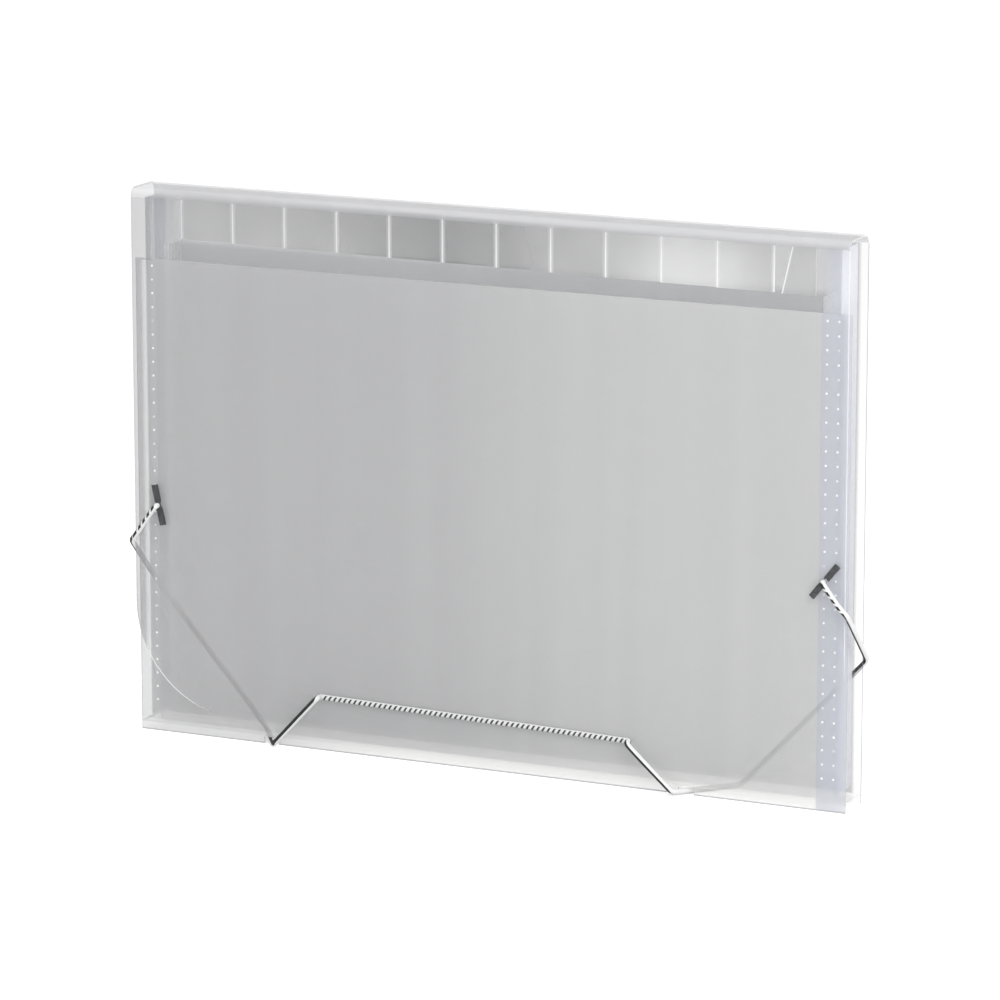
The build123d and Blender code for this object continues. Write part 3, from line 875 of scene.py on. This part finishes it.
def endBar():
    deselectAll()
    bpy.ops.mesh.primitive_cube_add(size=1)
    piece = bpy.context.object
    piece.scale = (bar["widthMm"] * mm, bar["thickMm"] * mm, bar["lengthMm"] * mm)
    bpy.ops.object.transform_apply(location=False, rotation=False, scale=True)
    bpy.ops.object.mode_set(mode="EDIT")
    half = bar["crimpMm"] / 2 * mm
    inner = half * bar["crimpInner"]
    for height in (-half, -inner, inner, half):
        bpy.ops.mesh.select_all(action="SELECT")
        bpy.ops.mesh.bisect(plane_co=(0, 0, height), plane_no=(0, 0, 1))
    # pinched where it holds the cord
    selectPlaces(piece, lambda co: abs(co.z) < (inner + half) / 2)
    bpy.ops.transform.resize(value=(*bar["pinch"], 1), center_override=(0, 0, 0))
    bpy.ops.object.mode_set(mode="OBJECT")
    bevel = piece.modifiers.new("soft edges", "BEVEL")
    bevel.width = bar["bevelMm"] * mm
    bevel.segments = 2
    bpy.ops.object.modifier_apply(modifier=bevel.name)
    bpy.ops.object.shade_smooth_by_angle(angle=math.radians(bar["smoothDegrees"]))
    return piece


def placeBar(piece, name, nodeName, lean, material):
    low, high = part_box(nodeName)
    piece.name = name
    piece.rotation_euler = (0, -math.radians(lean), 0)
    piece.location = [(a + b) / 2 for a, b in zip(low, high)]
    deselectAll()
    piece.select_set(True)
    bpy.context.view_layer.objects.active = piece
    bpy.ops.object.transform_apply(location=True, rotation=True, scale=True)
    piece.data.materials.clear()
    piece.data.materials.append(material)
    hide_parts(nodeName)
    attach(piece, "flap")


firstBar = endBar()
bpy.ops.object.duplicate()
secondBar = bpy.context.object
barSteel = blackenedSteel()
placeBar(firstBar, "left_bar", "t_bar_left", bar["leanLeft"], barSteel)
placeBar(secondBar, "right_bar", "t_bar_right", bar["leanRight"], barSteel)
print("bars made")


# Room: white floor and walls, one large soft lamp to the right and one above

room = {
    "floor": "#f2f2f2",
    "floorM": 16,
    "walls": "#ffffff",
    "floorLift": 0.46,     # what the eye sees of the floor above its own shade
    "air": 0.66,           # strength of the world's light on the object
    "side": {"place": (0.95, -0.75, 0.75), "sizeM": 0.7, "watts": 7.4},
    "top": {"place": (-0.2, -0.5, 1.7), "sizeM": 1.4, "watts": 6.6},
    "aim": (0, 0, 0.12),
}


def raySeen(tree):
    # 1 for what the eye sees, straight on or through gloss and glass
    path = addNode(tree, "ShaderNodeLightPath")
    seen = addNode(tree, "ShaderNodeMath", {"operation": "MAXIMUM"},
                   {0: path.outputs["Is Camera Ray"], 1: path.outputs["Is Glossy Ray"]})
    seen = addNode(tree, "ShaderNodeMath", {"operation": "MAXIMUM"},
                   {0: seen.outputs[0], 1: path.outputs["Is Transmission Ray"]})
    return seen.outputs[0]


def paleFloor():
    # matt white board, which keeps the object's shadow and is otherwise as white as the room
    deselectAll()
    bpy.ops.mesh.primitive_plane_add(size=room["floorM"], location=(0, 0, 0))
    floor = bpy.context.object
    floor.name = "floor"
    material, tree = newMaterial("white studio floor")
    seen = raySeen(tree)
    lift = addNode(tree, "ShaderNodeMath", {"operation": "MULTIPLY"}, {0: seen, 1: room["floorLift"]})
    matt = addNode(tree, "ShaderNodeBsdfDiffuse", {}, {"Color": hexLinear(room["floor"])})
    glow = addNode(tree, "ShaderNodeEmission", {}, {"Strength": lift.outputs[0]})
    both = addNode(tree, "ShaderNodeAddShader", {}, {0: matt.outputs[0], 1: glow.outputs[0]})
    addNode(tree, "ShaderNodeOutputMaterial", {}, {"Surface": both.outputs[0]})
    floor.data.materials.append(material)


def whiteWorld():
    world = bpy.data.worlds.new("white room")
    bpy.context.scene.world = world
    world.use_nodes = True
    tree = world.node_tree
    tree.nodes.clear()
    seen = raySeen(tree)
    strength = addNode(tree, "ShaderNodeMath", {"operation": "MULTIPLY_ADD"},
                       {0: seen, 1: 1 - room["air"], 2: room["air"]})
    back = addNode(tree, "ShaderNodeBackground", {},
                   {"Color": hexLinear(room["walls"]), "Strength": strength.outputs[0]})
    addNode(tree, "ShaderNodeOutputWorld", {}, {"Surface": back.outputs[0]})


def softLamp(name, look):
    lamp = bpy.data.lights.new(name, "AREA")
    lamp.size = look["sizeM"]
    lamp.energy = look["watts"]
    holder = bpy.data.objects.new(name, lamp)
    holder.location = look["place"]
    aim = Vector(room["aim"]) - Vector(look["place"])
    holder.rotation_euler = aim.to_track_quat("-Z", "Y").to_euler()
    bpy.context.scene.collection.objects.link(holder)


paleFloor()
whiteWorld()
softLamp("side lamp", room["side"])
softLamp("top lamp", room["top"])
scene = bpy.context.scene
scene.view_settings.view_transform = "Standard"
scene.cycles.transparent_max_bounces = 64   # a ray may cross every sheet of the stack
scene.cycles.max_bounces = 4
scene.cycles.diffuse_bounces = 2
scene.cycles.glossy_bounces = 2
print("room set")
